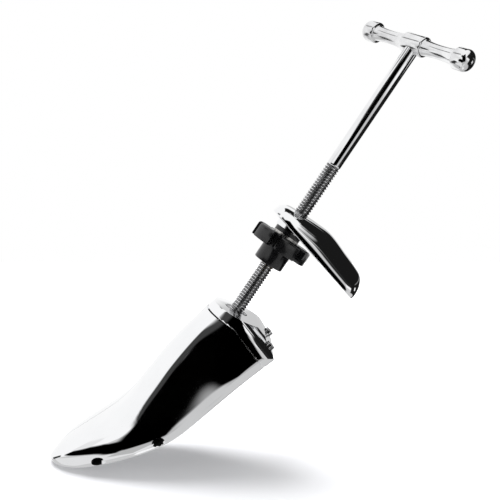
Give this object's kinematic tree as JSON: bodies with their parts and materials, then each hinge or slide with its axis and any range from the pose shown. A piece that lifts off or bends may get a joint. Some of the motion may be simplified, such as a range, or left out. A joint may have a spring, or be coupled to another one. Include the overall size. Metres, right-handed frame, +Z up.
{
  "type": "shoe stretcher",
  "caption": "Two-way shoe stretcher: split chrome last on a threaded spindle with T handle, black length knob and chrome heel block.",
  "frame": {"origin": "on the flat of the sole plane, on the split, just behind the ball of the last", "axes": "+Z up from the sole, +X towards the heel block and the handle, the toe towards -X, the two halves on either side of y = 0"},
  "size_m": [0.3792, 0.08, 0.1377],
  "materials": {
    "chrome": "mirror-polished chrome plate on cast metal",
    "chrome_rod": "chrome-plated steel bar and thread",
    "steel": "zinc-plated steel, fine machining marks",
    "brass": "turned brass, slightly dull",
    "black_plastic": "black moulded plastic, semi-matt"
  },
  "bodies": {
    "back": {"back_cap": "chrome", "hinge_bracket": "steel", "hinge_pins": "steel", "back_screws": "steel", "return_spring": "steel"},
    "left_half": {"toe_half_left": "chrome", "spring_screw_left": "steel"},
    "right_half": {"toe_half_right": "chrome", "spring_screw_right": "steel"},
    "spindle": {"spindle": "chrome_rod", "thrust_collar": "steel", "collar_pin": "steel", "cap_washer": "brass", "retaining_ring": "steel", "handle_bar": "chrome_rod", "handle_pin": "steel"},
    "wedge": {"wedge_nut": "brass"},
    "washer": {"knob_washer": "steel"},
    "knob": {"knob": "black_plastic", "knob_insert": "brass"},
    "heel": {"heel_block": "chrome", "heel_bush": "black_plastic"}
  },
  "joints": [
    {"name": "handle_turn", "type": "hinge", "parent": "back", "child": "spindle", "pos_m": [0.095, 0, 0.039], "axis": [0.9489, 0, 0.3156], "range_deg": [0, 2880]},
    {"name": "wedge_slide", "type": "slide", "parent": "back", "child": "wedge", "axis": [-0.9489, 0, -0.3156], "range_m": [0, 0.016]},
    {"name": "left_spread", "type": "hinge", "parent": "back", "child": "left_half", "pos_m": [0.0795, -0.015, 0.018], "axis": [0, 0, 1], "range_deg": [0, 3.5], "deforming": ["return_spring"]},
    {"name": "right_spread", "type": "hinge", "parent": "back", "child": "right_half", "pos_m": [0.0795, 0.015, 0.018], "axis": [0, 0, -1], "range_deg": [0, 3.5], "deforming": ["return_spring"]},
    {"name": "washer_slide", "type": "slide", "parent": "spindle", "child": "washer", "axis": [0.9489, 0, 0.3156], "range_m": [-0.028, 0.052]},
    {"name": "knob_turn", "type": "hinge", "parent": "washer", "child": "knob", "pos_m": [0.095, 0, 0.039], "axis": [0.9489, 0, 0.3156], "range_deg": [-5040, 9360]},
    {"name": "heel_slide", "type": "slide", "parent": "back", "child": "heel", "axis": [0.9489, 0, 0.3156], "range_m": [-0.028, 0.052]}
  ],
  "couplings": [
    {"joint": "handle_turn", "follows": "wedge_slide", "rad_per_m": 3141.6},
    {"joint": "left_spread", "follows": "wedge_slide", "rad_per_m": 3.8179},
    {"joint": "right_spread", "follows": "wedge_slide", "rad_per_m": 3.8179},
    {"joint": "washer_slide", "follows": "heel_slide", "ratio": 1},
    {"joint": "knob_turn", "follows": "heel_slide", "rad_per_m": 3141.6}
  ]
}
